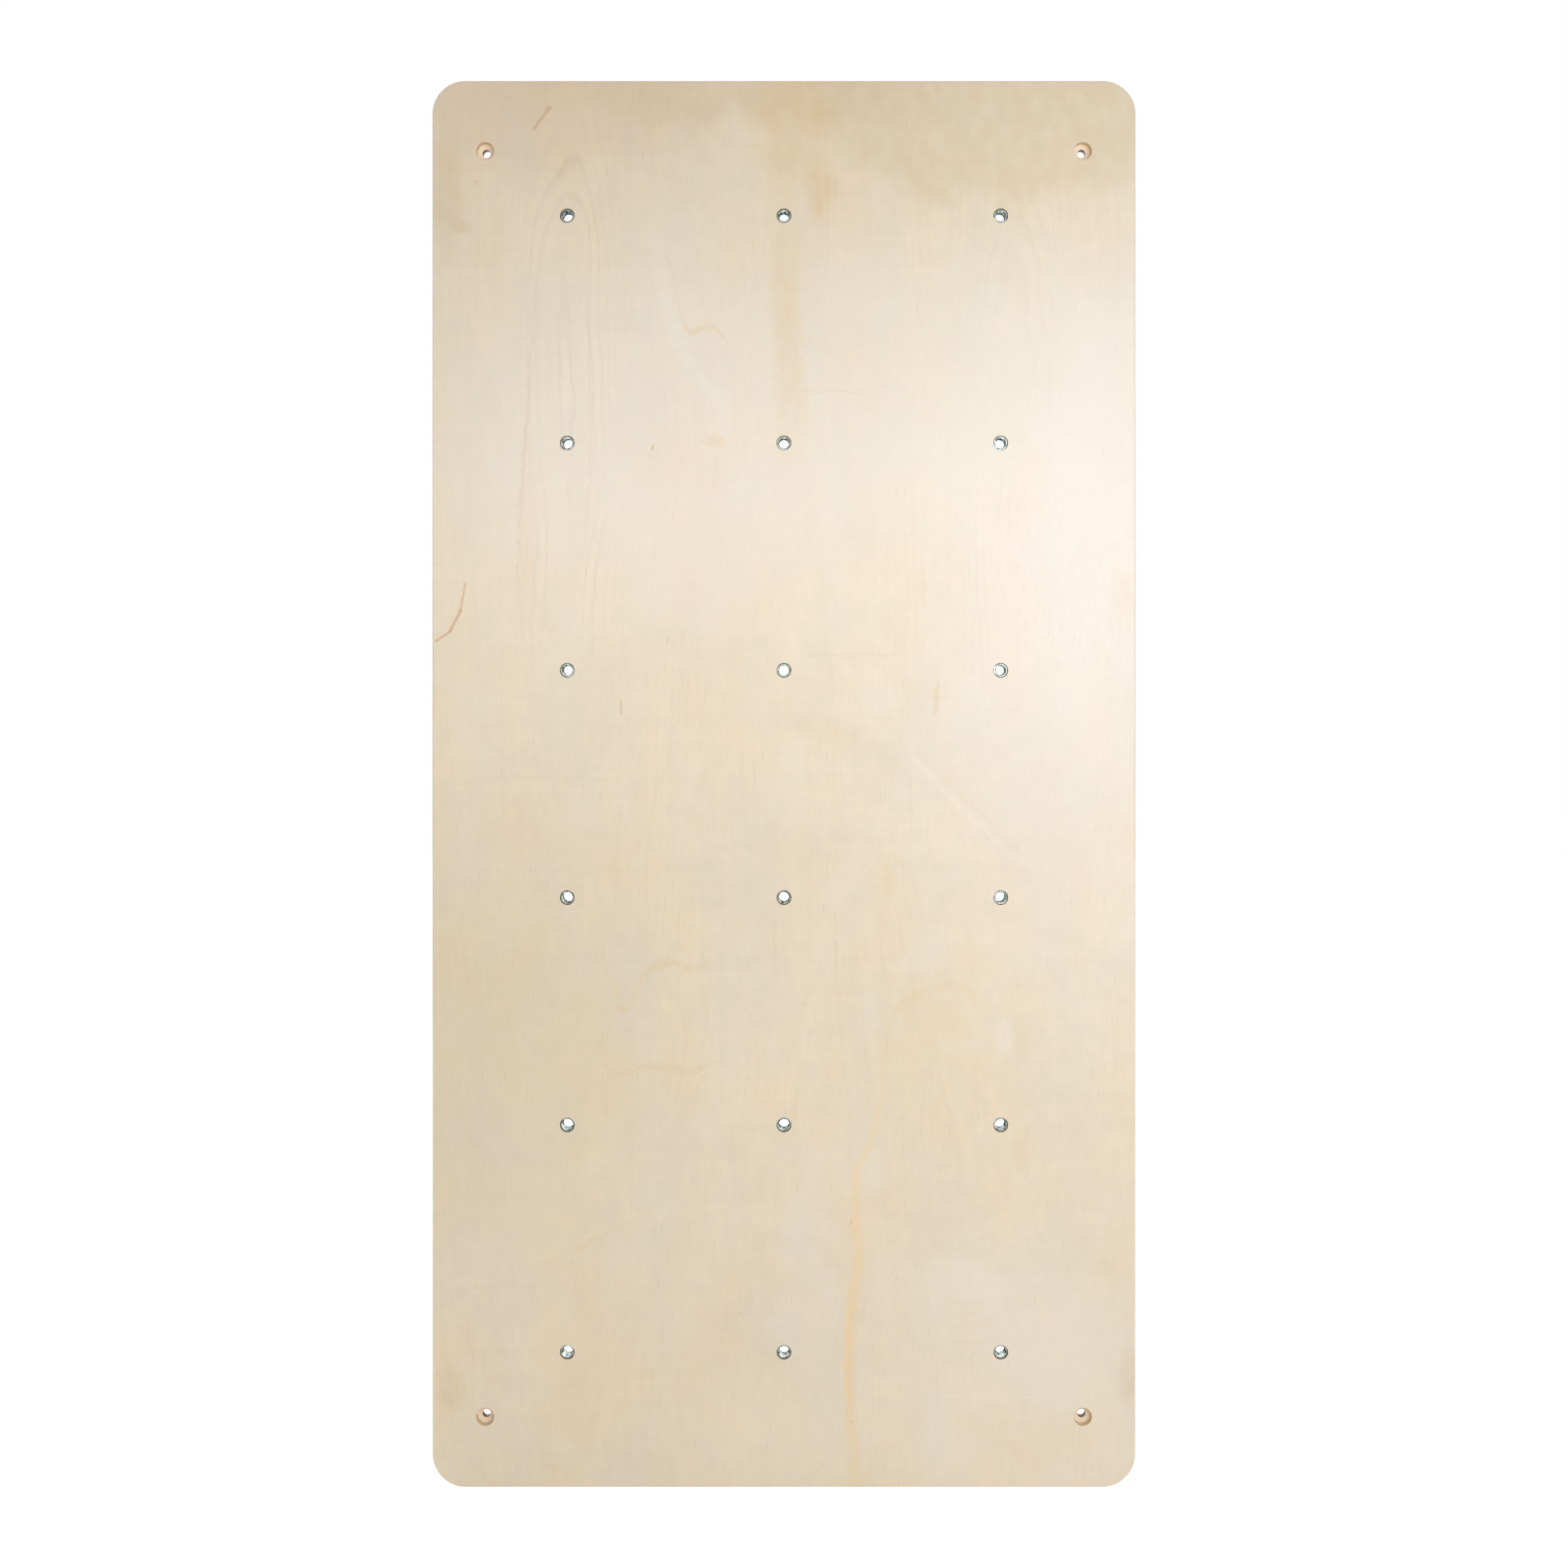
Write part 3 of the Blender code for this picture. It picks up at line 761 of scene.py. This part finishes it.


# Marks on this board's face: stains, streaks and strokes in the wood, broad patches that are lighter or
# darker, and a whitish patch on the right that is partly a painted highlight. Each mark ends with its
# colour and its strength, and a patchy one is broken up along the grain
faceMarks = {
    # Wander bends the outlines of marks: size of the bends, then how far they reach
    "wander": {"broad": (55, 70), "fine": (9, 8)},
    "broadFrom": 25,        # a stain that reaches further than this both ways has broad bends
    "straightTo": 1,        # a stroke whose soft edge is up to this has none
    "patchSize": (13, 20),
    "patches": {"From Min": 0.35, "From Max": 0.62, "To Min": 0.72, "To Max": 1.1},
    # Stains and patches, one of them partly painted sheen, broad and cloudy ones first: place, reach, and
    # the share of the reach where the fading starts
    "stainsAndSheen": [
        ((-90, 300), (360, 230), 0.2, "#EFE8DD", 0.38),
        ((104, -248), (17, 46), 0.3, "#E2CA98", 0.16),
        # The next two make the lower left and the top left darker
        ((-270, -220), (230, 230), 0.2, "#CDBB9B", 0.33),
        ((-205, 580), (190, 80), 0.4, "#CDAC8F", 0.28),
        ((200, 310), (150, 190), 0.3, "#E8E2D5", 0.26),
        ((195, -462), (180, 110), 0.0, "#EDE8DC", 0.30),
        ((230, -560), (240, 130), 0.0, "#F0E6D6", 0.34),
        # Paler, whiter wood on the right, and partly a painted highlight: the lamps' sheen laid into the
        # colour
        ((285, 270), (150, 270), 0.2, "#E4DCCE", 0.55),
        ((225, 70), (150, 240), 0.3, "#D8D0C4", 0.36),
        ((0, -545), (150, 75), 0.0, "#F0E4CE", 0.22),
        ((-210, -400), (150, 100), 0.0, "#D3C4A8", 0.18),
        # These two make the top darker, in patches
        ((175, 572), (185, 93), 0.7, "#D2BD9A", 0.60, "patchy"),
        ((-60, 600), (270, 48), 0.3, "#CDB593", 0.48, "patchy"),
        ((4, 580), (46, 95), 0.4, "#D6B584", 0.36, "patchy"),
        ((-288, 500), (22, 70), 0.3, "#CDB085", 0.32, "patchy"),
        ((-275, 476), (13, 9), 0.3, "#C2A17A", 0.17, "patchy"),
        ((60, 420), (80, 60), 0.3, "#E1D8C8", 0.30),
        ((150, 400), (60, 70), 0.3, "#DED6C4", 0.22),
        ((198, 185), (34, 160), 0.3, "#E4D0BC", 0.35),
        ((-190, 245), (15, 95), 0.3, "#E7DCC8", 0.30),
        ((-219, 230), (9, 130), 0.3, "#E3CBB0", 0.28),
        ((-84, 270), (52, 30), 0.3, "#E3CBAC", 0.22, "patchy"),
        ((-60, 180), (70, 90), 0.3, "#E1CCB6", 0.20),
        ((82, 74), (26, 24), 0.3, "#E2DACB", 0.28),
        ((-200, -45), (95, 42), 0.3, "#DFC8AC", 0.28),
        ((5, -60), (45, 40), 0.3, "#DDC7A8", 0.25, "patchy"),
        ((10, 15), (18, 30), 0.3, "#E0D8CA", 0.25),
        ((127, -212), (48, 52), 0.3, "#E0C59C", 0.32, "patchy"),
        ((152, -224), (30, 10), 0.3, "#DDD6C6", 0.26),
        ((188, -217), (12, 25), 0.3, "#E5DFD2", 0.34),
        ((120, -145), (32, 30), 0.3, "#E0DACC", 0.22),
        ((73, -194), (8, 32), 0.3, "#DDD8CB", 0.24),
        ((88, -82), (7, 38), 0.3, "#E2C292", 0.24),
        ((203, -310), (11, 28), 0.3, "#E0C094", 0.22, "patchy"),
        ((188, -135), (52, 34), 0.3, "#DFD9CA", 0.16),
        ((22, -420), (30, 150), 0.3, "#DFD6C8", 0.35),
        ((75, -330), (18, 26), 0.3, "#E3DCCE", 0.30),
        ((165, -430), (44, 34), 0.3, "#E5DDCC", 0.36),
        ((128, -545), (22, 60), 0.3, "#DFD8CB", 0.28),
        ((215, -555), (85, 42), 0.3, "#DEC39C", 0.22, "patchy"),
        ((290, 160), (18, 38), 0.3, "#D8BA8B", 0.18),
        ((255, -330), (50, 60), 0.3, "#E1CCB0", 0.22),
        ((-286, -515), (18, 30), 0.3, "#CDB083", 0.28, "patchy"),
        ((294, -505), (12, 34), 0.3, "#CDB083", 0.30, "patchy"),
        ((-110, -450), (110, 70), 0.3, "#E1CBB0", 0.20),
        ((31, 508), (19, 36), 0.3, "#D3B07A", 0.38, "patchy"),
        ((-60, 292), (15, 7), 0.3, "#E0B787", 0.25),
        ((-262.8, 513.4), (2.6, 2.6), 0.3, "#B8905C", 0.25),
        ((-111, 287), (2.4, 3.2), 0.3, "#BF9868", 0.45),
        ((57.5, -375), (1.2, 3.0), 0.3, "#A87A48", 0.40),
        ((56, -500), (1.2, 4.0), 0.3, "#A87A48", 0.40),
        ((57.5, -545), (1.2, 3.0), 0.3, "#A87A48", 0.40),
    ],
    # Streaks up the board or across it: width, soft edge, and the points that they run through, each
    # with its share of the strength
    "streaks": [
        ("up", 5.5, 4.0, [
            (90, -190, 0.0), (88, -225, 0.25), (83, -269, 0.3), (72, -311, 0.48), (60, -352, 0.58),
            (63, -401, 0.75), (57, -450, 0.95), (55, -490, 1.1), (57, -540, 0.7), (60, -600, 0.45),
        ], "#E9C790", 0.60),
        ("up", 19, 9.0, [
            (1, 505, 0.0), (2, 460, 0.6), (1, 415, 1.0), (4, 370, 0.9), (7, 320, 0.6), (4, 265, 0.0),
        ], "#DBBF90", 0.38, "patchy"),
        ("up", 1.6, 2.4, [
            (-205, 474, 0.0), (-212, 420, 0.6), (-218, 330, 1.0), (-224, 250, 1.0), (-226, 170, 0.7),
            (-218, 100, 0.0),
        ], "#BC9E72", 0.18),
        ("up", 1.4, 2.4, [
            (-176, 470, 0.0), (-167, 400, 0.7), (-165, 300, 0.8), (-171, 200, 0.5), (-180, 120, 0.0),
        ], "#BC9E72", 0.14),
        ("up", 6.0, 8.0, [
            (-112, 480, 0.0), (-104, 430, 0.7), (-92, 380, 1.0), (-70, 345, 1.0), (-52, 315, 0.8),
            (-48, 290, 0.0),
        ], "#EDE5D6", 0.30, "patchy"),
        ("across", 12.0, 14.0, [
            (-16, 64, 0.0), (15, 52, 0.8), (48, 41, 1.0), (84, 26, 0.7), (112, 8, 0.0),
        ], "#D0BB94", 0.22, "patchy"),
        ("across", 3.4, 3.4, [
            (-101, 452, 0.0), (-97, 441, 1.0), (-90, 410, 1.0), (-83, 389, 1.0), (-63, 390, 0.9),
            (-51, 378, 0.8), (-47, 333, 0.0),
        ], "#D8B47A", 0.26, "patchy"),
        ("across", 4.2, 3.6, [
            (-158, -130, 0.0), (-156, -141, 1.0), (-147, -172, 1.0), (-139, -193, 1.0), (-128, -182, 0.9),
            (-119, -162, 1.0), (-97, -153, 0.9), (-73, -157, 0.8), (-61, -143, 0.0),
        ], "#DAB884", 0.27, "patchy"),
        ("across", 3.8, 3.4, [
            (-158, -222, 0.0), (-147, -245, 1.0), (-132, -247, 0.9), (-118, -241, 0.8), (-97, -243, 1.0),
            (-70, -243, 0.9), (-63, -220, 0.0),
        ], "#DAB884", 0.27, "patchy"),
        ("across", 4.0, 6.0, [
            (85, -262, 0.0), (89, -214, 0.8), (99, -190, 1.0), (118, -178, 0.8), (146, -172, 1.0),
            (160, -180, 0.9), (168, -214, 0.7), (173, -250, 0.0),
        ], "#D9B27A", 0.17, "patchy"),
    ],
    # Straight strokes: from, to, width and soft edge
    "strokes": [
        ((-200, 578), (-212, 559), 2.2, 1.6, "#B27E48", 0.50),
        ((-272, 171), (-276, 148), 1.8, 0.95, "#B98047", 0.50),
        ((-276, 148), (-285, 130), 2.4, 0.95, "#B98047", 0.58),
        ((-285, 130), (-297, 122), 2.0, 0.95, "#B98047", 0.55),
        ((-139, 70), (-139, 60), 0.9, 0.7, "#A8814F", 0.55),
        ((131, 87), (129.5, 61), 2.4, 2.6, "#CDA768", 0.46),
        ((-259, 6), (-142, 4), 1.6, 1.8, "#C3AE86", 0.14),
        ((6, 335), (79, 335), 1.3, 1.5, "#C0AB83", 0.16),
        ((23, 110), (99, 110), 1.8, 1.8, "#C0AB83", 0.16),
        ((134, -523), (217, -523), 1.0, 1.2, "#EFE6D4", 0.35),
        ((110, 22), (193, -61), 2.4, 3.4, "#EBE0CD", 0.24),
        ((114, 27), (197, -54), 2.0, 4.0, "#CDB892", 0.20),
        ((-178, -398), (-112, -364), 2.0, 4.0, "#D9B482", 0.20),
        ((-130, -320), (-100, -298), 0.8, 1.5, "#D9B482", 0.25),
        ((28, 521), (30, 487), 2.4, 2.4, "#CFA161", 0.16, "patchy"),
        ((37, 517), (38, 493), 1.6, 2.2, "#CFA161", 0.14, "patchy"),
        ((45, 518), (45, 498), 2.4, 3.4, "#D2A868", 0.12, "patchy"),
        ((43.7, -110), (43.5, -156), 1.2, 1.8, "#BDA67E", 0.22),
        ((-8, -110), (-8, -178), 1.0, 1.6, "#BDA67E", 0.12),
        ((108, 6), (108, -40), 1.0, 1.6, "#BDA67E", 0.13),
    ],
}


# Share of a streak at a point: its route and its strength are curves over the way it runs
def streakShare(add, point, way, width, soft, stops):
    run, side = ("X", "Z") if way == "across" else ("Z", "X")
    stops = sorted(stops if way == "across" else [(z, x, share) for x, z, share in stops])
    start, end = stops[0][0], stops[-1][0]
    low, high = min(stop[1] for stop in stops), max(stop[1] for stop in stops)
    places = [(stop[0] - start) / (end - start) for stop in stops]
    route = list(zip(places, [(stop[1] - low) / (high - low) for stop in stops]))
    shares = list(zip(places, [stop[2] for stop in stops]))
    apart = add("SeparateXYZ", [point])
    position = add("MapRange", [apart.outputs[run], start, end])
    bend = layCurve(add("FloatCurve", {"Value": position}), route)
    share = layCurve(add("FloatCurve", {"Value": position}), shares)
    middle = add("MapRange", [bend, 0, 1, low, high], clamp=False)
    gap = add("Math", [apart.outputs[side], middle], operation="SUBTRACT")
    beside = add("Math", [gap], operation="ABSOLUTE")
    mask = add("MapRange", [beside, width / 2 + soft, width / 2 - soft / 2], **smooth)
    return add("Math", [mask, share], operation="MULTIPLY")


def newMaterial(name):
    material = bpy.data.materials.new(name)
    material.use_nodes = True
    material.node_tree.nodes.clear()
    return material, partial(addNode, material.node_tree)


# The bump, the surface and the output that end a material
def finishMaterial(add, settings, height, values):
    bump = add("Bump", {
        "Strength": settings["bumpStrength"],
        "Distance": settings["bumpHeight"] * mm,
        "Height": height,
    })
    surface = add("BsdfPrincipled", {**values, "Normal": bump})
    add("OutputMaterial", {"Surface": surface})


# Lays the marks on the wood's colour, one over another
def markedColor(add, point, color, marks):
    bent = {}
    for kind, (size, reach) in marks["wander"].items():
        noise = add("TexNoise", {"Vector": point, "Scale": 1 / size, "Detail": 3.0})
        shift = add("VectorMath", [noise.outputs["Color"], (0.5, 0.5, 0.5)], operation="SUBTRACT")
        bent[kind] = add("VectorMath", [shift, (reach, 0, reach), point], operation="MULTIPLY_ADD")
    speckle = stretchedNoise(add, point, marks["patchSize"], {"Detail": 5.0})
    patches = add("MapRange", {"Value": speckle, **marks["patches"]}, **smooth)
    groups = bpy.data.node_groups
    shares = []
    for (x, z), (wide, tall), core, *finish in marks["stainsAndSheen"]:
        node = add("Group", {
            "Point": bent["broad" if min(wide, tall) > marks["broadFrom"] else "fine"],
            "Centre": (x, 0, z),
            "Reach": (wide, 1, tall),
            "Core": core,
        }, node_tree=groups["stain"])
        shares.append((node, finish))
    for way, width, soft, stops, *finish in marks["streaks"]:
        shares.append((streakShare(add, bent["fine"], way, width, soft, stops), finish))
    for (fromX, fromZ), (toX, toZ), width, soft, *finish in marks["strokes"]:
        node = add("Group", {
            "Point": bent["fine"] if soft > marks["straightTo"] else point,
            "From": (fromX, 0, fromZ),
            "To": (toX, 0, toZ),
            "Half Width": width / 2,
            "Soft Edge": soft,
        }, node_tree=groups["stroke"])
        shares.append((node, finish))
    for share, (hexValue, strength, *patchy) in shares:
        if patchy:
            share = add("Math", [share, patches], operation="MULTIPLY")
        weighted = add("Math", [share, strength], operation="MULTIPLY")
        color = add("Mix", [weighted, color, linearColor(hexValue)], data_type="RGBA")
    return color


# The face or the back, in rotary-cut birch; the marks lie on the face only
def veneerMaterial(name, settings, figure, marks=None):
    material, add = newMaterial(name)
    point = pointInMillimetres(add)
    rings, clear = ringField(add, point, figure, settings["ringClarity"])
    wood = add("Group", {
        "Point": point,
        "Rings": rings,
        "Clear": clear,
    }, node_tree=bpy.data.node_groups["birchVeneer"])
    finishMaterial(add, settings, wood.outputs["Height"], {
        "Base Color": markedColor(add, point, wood, marks) if marks else wood,
        "Roughness": wood.outputs["Roughness"],
        "Specular IOR Level": settings["specular"],
    })
    return material


# Sawn and sanded birch plywood, eleven plies with the grain crossed: pale long grain and darker,
# fine-pored end grain take turns, with thin glue lines between, and swap on the neighbouring side
plySettings = {
    "plies": 11,
    "longGrain": "#DFC9A1",
    "endGrain": "#C9A470",
    "glue": "#7C5832",
    "glueWidth": 0.09,
    "glueStrength": 0.55,
    "waver": 0.10,
    "waverScale": 0.015,
    "pore": 0.35,
    "fibreLength": 16,
    "fibreScale": 0.5,
    "plyTone": (0.14, 0.80),        # how far one ply's tone lies from another's, and the darkest
    "fibreTone": 0.24,
    "roughness": 0.62,
    "specular": 0.4,
    "bumpHeight": 0.08,
    "bumpStrength": 0.5,
}


def plyGroup(settings):
    add, given = newGroup("crossedPlies", "ShaderNodeTree", {
        "Point": "Vector",
        "Normal": "Vector",
    }, {"Color": "Color", "Height": "Float"})
    point, normal = given["Point"], given["Normal"]
    plyThickness = (cadBox[1][1] - cadBox[0][1]) / mm / settings["plies"]
    place = add("SeparateXYZ", [point])
    drift = add("TexNoise", {"Vector": point, "Scale": settings["waverScale"], "Detail": 2.0})
    centred = add("Math", [drift, 0.5], operation="SUBTRACT")
    depth = add("Math", [place.outputs["Y"], -1 / plyThickness], operation="MULTIPLY")
    layer = add("Math", [centred, 2 * settings["waver"], depth], operation="MULTIPLY_ADD")
    index = add("Math", [layer], operation="FLOOR")
    halved = add("Math", [index, 0.5], operation="MULTIPLY")
    half = add("Math", [halved], operation="FRACT")
    crossed = add("Math", [half, 0.25], operation="GREATER_THAN")

    # Face plies run upright, crossed plies run sideways; end grain shows where the cut faces along them
    squared = add("VectorMath", [normal, normal], operation="MULTIPLY")
    facing = add("SeparateXYZ", [squared]).outputs
    endShare = add("Mix", [crossed, facing["Z"], facing["X"]], data_type="FLOAT")
    grainColors = linearColor(settings["longGrain"]), linearColor(settings["endGrain"])
    grains = add("Mix", [endShare, *grainColors], data_type="RGBA")

    # Fibres as long streaks in each ply's own direction, which are pores where they end
    along, across = 1 / settings["fibreLength"], 1 / settings["pore"]
    ways = (across, across, along), (along, across, across)
    direction = add("Mix", [crossed, *ways], data_type="VECTOR")
    stretched = add("VectorMath", [point, direction], operation="MULTIPLY")
    fibre = add("TexNoise", {"Vector": stretched, "Scale": settings["fibreScale"], "Detail": 3.0})
    sheetTone = add("TexWhiteNoise", [index], noise_dimensions="1D")
    sheet = add("Math", [sheetTone, *settings["plyTone"]], operation="MULTIPLY_ADD")
    tone = add("Math", [fibre, settings["fibreTone"], sheet], operation="MULTIPLY_ADD")
    toned = add("Mix", [1.0, grains, tone], data_type="RGBA", blend_type="MULTIPLY")

    # Glue lines lie where one ply meets the next
    phase = add("Math", [layer], operation="FRACT")
    fromMiddle = add("Math", [phase, 0.5], operation="SUBTRACT")
    outward = add("Math", [fromMiddle], operation="ABSOLUTE")
    glueHalf = settings["glueWidth"] / plyThickness / 2
    glueEdges = [outward, 0.5 - 2 * glueHalf, 0.5 - glueHalf / 2, 0, settings["glueStrength"]]
    glue = add("MapRange", glueEdges, **smooth)
    glued = add("Mix", [glue, toned, linearColor(settings["glue"])], data_type="RGBA")
    add("NodeGroupOutput", {"Color": glued, "Height": fibre})


# Cut faces of the plywood. The tint veils the plies by its share: pale on the bore walls, a painted light
# that lifts them out of their shade, and dark brown on the pilot walls, painted shade deep in the narrow
# pilots
def plyMaterial(name, settings, tintShare=0.0, tint="#FFFFFF"):
    material, add = newMaterial(name)
    plies = add("Group", {
        "Point": pointInMillimetres(add),
        "Normal": add("TexCoord").outputs["Normal"],
    }, node_tree=bpy.data.node_groups["crossedPlies"])
    finishMaterial(add, settings, plies.outputs["Height"], {
        "Base Color": add("Mix", [tintShare, plies, linearColor(tint)], data_type="RGBA"),
        "Roughness": settings["roughness"],
        "Specular IOR Level": settings["specular"],
    })
    return material


# Floor of a bored hole: bare ply with the fine rings that the turning bit leaves, its colours near white,
# pale wood lifted by painted light that stands for the light reaching into the bores
boreSettings = {
    "light": "#F9ECD6",
    "dark": "#E8CDA4",
    "darkShare": 0.5,
    "darkEdges": (0.3, 0.8),
    "spotScale": 0.9,
    "ringSpacing": 0.8,
    "ringStrength": 0.12,
    "roughness": 0.65,
    "bumpHeight": 0.1,
    "bumpStrength": 0.6,
}


def boreFloorMaterial(settings):
    material, add = newMaterial("boredBirch")
    point = pointInMillimetres(add)
    folded = add("VectorMath", [point], operation="ABSOLUTE")
    screwX = cadBox[1][0] / mm - boardSettings["screwSideMargin"]
    screwZ = cadBox[1][2] / mm - boardSettings["screwEndMargin"]
    fromAxis = add("VectorMath", [folded, (1, 0, 1), (-screwX, 0, -screwZ)], operation="MULTIPLY_ADD")
    radius = add("VectorMath", [fromAxis], operation="LENGTH")
    turns = add("Math", [radius, 2 * math.pi / settings["ringSpacing"]], operation="MULTIPLY")
    wave = add("Math", [turns], operation="SINE")
    spots = add("TexNoise", {"Vector": point, "Scale": settings["spotScale"], "Detail": 3.0})
    mixed = add("Math", [wave, settings["ringStrength"], spots], operation="MULTIPLY_ADD")
    share = add("MapRange", [mixed, *settings["darkEdges"], 0, settings["darkShare"]])
    colors = linearColor(settings["light"]), linearColor(settings["dark"])
    finishMaterial(add, settings, mixed, {
        "Base Color": add("Mix", [share, *colors], data_type="RGBA"),
        "Roughness": settings["roughness"],
    })
    return material


# Steel, cold stamped and bright zinc plated: silvery with a cool blue-green cast, slightly cloudy,
# softly mirroring what is round it
zincSettings = {
    "bright": "#AEB4B1",
    "cool": "#6C7A75",
    "rim": "#868D8B",
    "roughness": (0.20, 0.34),
    "cloudSize": 3.0,
    "cloudEdges": (0.28, 0.66),
    "upFacingShine": 0.0,
    "upFacingShineTilt": 0.5,
    "grit": 0.25,
    "bumpHeight": 0.02,
    "bumpStrength": 0.15,
}

# The tapped thread: a dark grey-green with an oily shine, darkened to stand for the shade deep in the
# barrel (painted shade), with bright clouds that are painted glints; faces that look up, the lower flanks,
# are made brighter, a painted light from above
threadSettings = {
    **zincSettings,
    "bright": "#DCE6E4",
    "cool": "#22372F",
    "rim": "#46544C",
    "roughness": (0.30, 0.44),
    "cloudSize": 2.6,
    "cloudEdges": (0.38, 0.54),
    # how much brighter the faces that look up are: painted light from above
    "upFacingShine": 0.10,
}


def zincMaterial(name, settings):
    material, add = newMaterial(name)
    point = pointInMillimetres(add)
    cloud = add("TexNoise", {"Vector": point, "Scale": 1 / settings["cloudSize"], "Detail": 3.0})
    # Faces that look up, the lower walls of a bore, are made brighter by this share: a painted light from
    # above
    facing = add("SeparateXYZ", [add("TexCoord").outputs["Normal"]])
    tilts = [facing.outputs["Z"], 0, settings["upFacingShineTilt"], 0, settings["upFacingShine"]]
    upFacingShine = add("MapRange", tilts, **smooth)
    dullness = add("Math", [cloud, upFacingShine], operation="SUBTRACT")
    # Clouds mix the bright and the cool colour; on the thread the bright clouds are painted glints
    clouded = add("MapRange", [dullness, *settings["cloudEdges"]], **smooth)
    colors = linearColor(settings["bright"]), linearColor(settings["cool"])
    gloss = add("MapRange", [cloud, *noiseRange, *settings["roughness"]])
    grit = add("TexNoise", {"Vector": point, "Scale": 1 / settings["grit"], "Detail": 2.0})
    finishMaterial(add, settings, grit, {
        "Base Color": add("Mix", [clouded, *colors], data_type="RGBA"),
        "Metallic": 1.0,
        "Specular Tint": linearColor(settings["rim"]),
        "Roughness": gloss,
    })
    return material


# Studio, in metres but for the lens and its sensor: a camera square to the board, five soft boxes
# before it and one behind, a white room and a white floor

cameraSettings = {
    "lens": 43.05,
    "sensor": 36.0,
    "distance": 1.6,
    "eyeHeight": 0.08,
}

# Place, aim, width and height, glow and colour of each soft box
lampSettings = {
    "keyBox": ((0.55, -1.6, 0.25), (0, 0, 0.05), (0.52, 0.52), 5.3, "#F3F7FF"),
    "upperBox": ((0.6, -1.6, 0.72), (0, 0, 0.05), (0.70, 0.45), 2.65, "#F3F7FF"),
    "leftBox": ((-0.15, -1.6, 0.27), (0, 0, 0.05), (1.15, 0.50), 2.35, "#FFFBF4"),
    "lowBox": ((0.80, -1.6, -0.2), (0, 0, 0.05), (1.05, 0.50), 2.8, "#F3F7FF"),
    "sideBox": ((1.15, -1.6, 0.4), (0, 0, 0.05), (0.45, 0.80), 1.75, "#F3F7FF"),
    "rearBox": ((-0.9, 1.9, 0.7), (0, 0, 0), (1.6, 1.6), 3.0, "#FFFFFF"),
}

roomSettings = {
    "fill": 0.43,
    "floorGlow": 0.8,
    "floorColor": "#F4F3F0",
    "floorSize": 12.0,
    "floorGap": 0.0005,
}


def buildCamera(settings):
    data = bpy.data.cameras.new("camera")
    data.sensor_width = settings["sensor"]
    data.lens = settings["lens"]
    frameWidth = settings["distance"] * settings["sensor"] / settings["lens"]
    data.shift_y = -settings["eyeHeight"] / frameWidth
    camera = newObject("camera", data)
    camera.location = (0, cadBox[0][1] - settings["distance"], settings["eyeHeight"])
    camera.rotation_euler = standing
    scene.camera = camera


def buildLamps(lamps):
    for name, (place, target, size, glow, color) in lamps.items():
        data = bpy.data.lights.new(name, "AREA")
        data.shape = "RECTANGLE"
        data.size, data.size_y = size
        data.color = linearColor(color)[:3]
        data.energy = glow * math.pi * data.size * data.size_y
        lamp = newObject(name, data)
        lamp.location = place
        aim = Vector(target) - Vector(place)
        lamp.rotation_euler = aim.to_track_quat("-Z", "Y").to_euler()


# Rays of the eye, of mirrors and of glass see plain white; other rays see the dimmer fill
def seesWhite(add):
    path = add("LightPath").outputs
    either = add("Math", [path["Is Camera Ray"], path["Is Glossy Ray"]], operation="MAXIMUM")
    return add("Math", [either, path["Is Transmission Ray"]], operation="MAXIMUM")


def buildRoom(settings):
    world = bpy.data.worlds.new("studio")
    world.use_nodes = True
    tree = world.node_tree
    tree.nodes.clear()
    add = partial(addNode, tree)
    strength = add("MapRange", [seesWhite(add), 0, 1, settings["fill"]])
    background = add("Background", {"Color": white, "Strength": strength})
    add("OutputWorld", {"Surface": background})
    scene.world = world

    half = settings["floorSize"] / 2
    bottom = cadBox[0][2] - settings["floorGap"]
    corners = [(-half, -half, bottom), (half, -half, bottom), (half, half, bottom), (-half, half, bottom)]
    mesh = bpy.data.meshes.new("floor")
    mesh.from_pydata(corners, [], [(0, 1, 2, 3)])
    floor = newObject("floor", mesh)
    material, add = newMaterial("whiteFloor")
    matt = add("BsdfDiffuse", {"Color": linearColor(settings["floorColor"])})
    glow = add("Math", [seesWhite(add), settings["floorGlow"]], operation="MULTIPLY")
    lit = add("Emission", {"Color": white, "Strength": glow})
    both = add("AddShader", [matt, lit])
    add("OutputMaterial", {"Surface": both})
    mesh.materials.append(material)


def dress(piece, nodes):
    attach(piece, "root")
    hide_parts(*nodes)


print("finishes")
veneerGroup(veneerSettings)
strokeGroup()
fadingEllipseGroup()
plyGroup(plySettings)
boardFinishes = {
    "front": veneerMaterial("birchFaceVeneer", veneerSettings, frontFigure, faceMarks),
    "rear": veneerMaterial("birchBackVeneer", veneerSettings, rearFigure),
    "edge": plyMaterial("birchPlyEdge", plySettings),
    # Bore walls: pale tint, painted light. Pilot walls: dark brown tint, painted shade. Hole floors: near
    # white, partly painted light
    "holeWall": plyMaterial("drilledBirchPly", plySettings, 0.5, "#F0DFC4"),
    "pilotWall": plyMaterial("scorchedBirchPly", plySettings, 0.8, "#6E4B2C"),
    "holeFloor": boreFloorMaterial(boreSettings),
}
zinc = zincMaterial("zincPlatedSteel", zincSettings)
tappedSteel = zincMaterial("tappedSteel", threadSettings)

print("board")
boardMesh = buildBoard(boardSettings)
shadeByForm(boardMesh)
dressBoard(boardMesh, boardSettings, boardFinishes)
dress(newObject("board_panel", boardMesh), ["board"])

print("hold nuts")
nutsMesh = buildNuts(nutSettings, zinc, tappedSteel)
shadeByForm(nutsMesh)
dress(newObject("hold_nuts", nutsMesh), nutNodes)

print("studio")
scene.view_settings.view_transform = "Standard"
buildCamera(cameraSettings)
buildLamps(lampSettings)
buildRoom(roomSettings)
